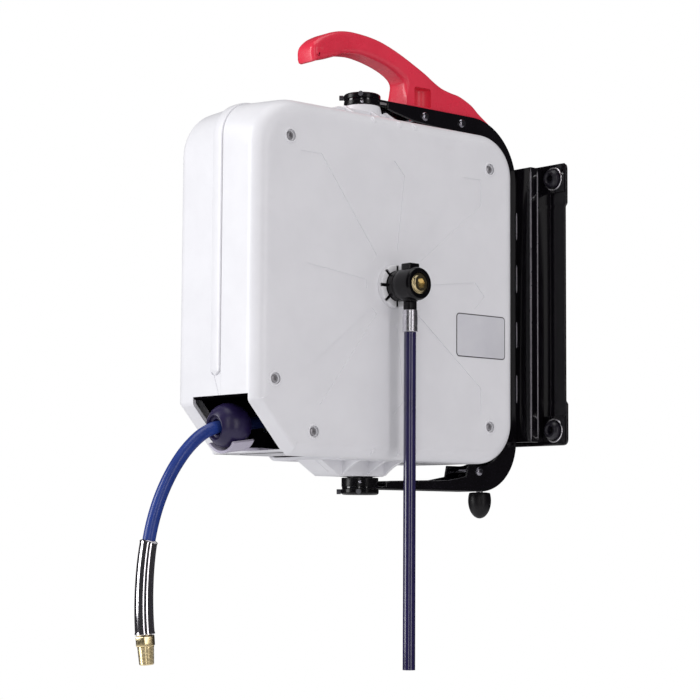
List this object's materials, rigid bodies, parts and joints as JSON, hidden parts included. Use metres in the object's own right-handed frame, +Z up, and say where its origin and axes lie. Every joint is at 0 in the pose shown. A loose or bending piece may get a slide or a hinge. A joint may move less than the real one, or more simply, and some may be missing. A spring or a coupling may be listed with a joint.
{
  "type": "enclosed hose reel",
  "caption": "Wall-mounted enclosed hose reel with a swivelling two-part housing in a C-shaped bracket, hooked carry handle, side inlet swivel, ball stop and spring rewind.",
  "frame": {"origin": "centre of the wall plate's flat back face, where it meets the wall", "axes": "+Z up, -Y away from the wall towards the hose outlet, +X towards the inlet swivel side"},
  "size_m": [0.202, 0.5912, 0.74],
  "materials": {
    "black_steel": "glossy black powder coat",
    "shell": "satin white moulded plastic",
    "handle": "satin red moulded plastic",
    "black_plastic": "satin black moulded plastic",
    "nylon": "natural nylon",
    "zinc": "zinc-plated steel",
    "spring_steel": "blued spring steel",
    "chrome": "polished",
    "brass": "turned brass",
    "rubber": "black moulded rubber",
    "hose": "satin blue hose",
    "feed_hose": "satin navy hose"
  },
  "bodies": {
    "base": {"wall_plate": "black_steel", "plate_grommet_1": "rubber", "plate_grommet_2": "rubber", "plate_grommet_3": "rubber", "plate_grommet_4": "rubber", "swivel_bracket": "black_steel", "handle_bolt_front": "zinc", "handle_bolt_back": "zinc", "bend_bolt": "zinc", "carry_handle": "handle", "upper_bush": "black_plastic", "lower_bush": "black_plastic"},
    "housing": {"right_shell": "shell", "left_shell": "shell", "shell_screw_1": "zinc", "shell_screw_2": "zinc", "shell_screw_3": "zinc", "shell_screw_4": "zinc", "shell_screw_5": "zinc", "right_bearing": "nylon", "left_bearing": "nylon", "upper_pin": "zinc", "lower_pin": "zinc", "upper_cap": "black_steel", "lower_cap": "black_steel", "upper_cap_screw_1": "zinc", "upper_cap_screw_2": "zinc", "lower_cap_screw_1": "zinc", "lower_cap_screw_2": "zinc", "hub_ring": "shell", "star_washer": "black_plastic", "mouth_guide": "black_plastic", "mouth_collar": "shell", "spring_case": "black_steel", "spring_cover": "black_steel", "power_spring": "spring_steel", "pawl_pin": "zinc"},
    "drum": {"main_shaft": "zinc", "drum_core": "zinc", "left_drum_plate": "zinc", "right_drum_plate": "zinc", "hose_coil": "hose", "ratchet_wheel": "spring_steel", "drum_elbow": "brass", "inlet_plug": "brass", "spring_arbor": "zinc"},
    "pawl": {"pawl": "spring_steel"},
    "inlet": {"swivel_body": "black_plastic", "hose_nut": "black_steel", "feed_ferrule": "chrome", "feed_hose": "feed_hose"},
    "outlet": {"hose_tail": "hose", "outlet_hose": "hose", "ball_stop": "rubber", "bend_sleeve": "chrome", "outlet_fitting": "brass"},
    "knob": {"lock_knob": "black_plastic", "knob_stud": "zinc"}
  },
  "joints": [
    {"name": "housing_swivel", "type": "hinge", "parent": "base", "child": "housing", "pos_m": [0, -0.269, -0.003], "axis": [0, 0, 1], "range_deg": [-90, 60]},
    {"name": "drum_spin", "type": "hinge", "parent": "housing", "child": "drum", "pos_m": [0.011, -0.284, -0.003], "axis": [-1, 0, 0], "range_deg": [0, 41], "stiffness_Nm_per_rad": 0.3},
    {"name": "hose_pull", "type": "slide", "parent": "housing", "child": "outlet", "axis": [0, -0.9921, -0.1252], "range_m": [0, 0.1]},
    {"name": "pawl_lift", "type": "hinge", "parent": "housing", "child": "pawl", "pos_m": [0.0578, -0.30043, 0.07325], "axis": [-1, 0, 0], "range_deg": [0, 18], "stiffness_Nm_per_rad": 0.02},
    {"name": "inlet_swivel", "type": "hinge", "parent": "housing", "child": "inlet", "pos_m": [0.1012, -0.284, -0.003], "axis": [1, 0, 0], "range_deg": [-8, 8]},
    {"name": "knob_turn", "type": "hinge", "parent": "base", "child": "knob", "pos_m": [0, -0.073, -0.2325], "axis": [0, 0, 1], "continuous": true}
  ],
  "couplings": [
    {"joint": "hose_pull", "follows": "drum_spin", "m_per_rad": 0.1393}
  ]
}
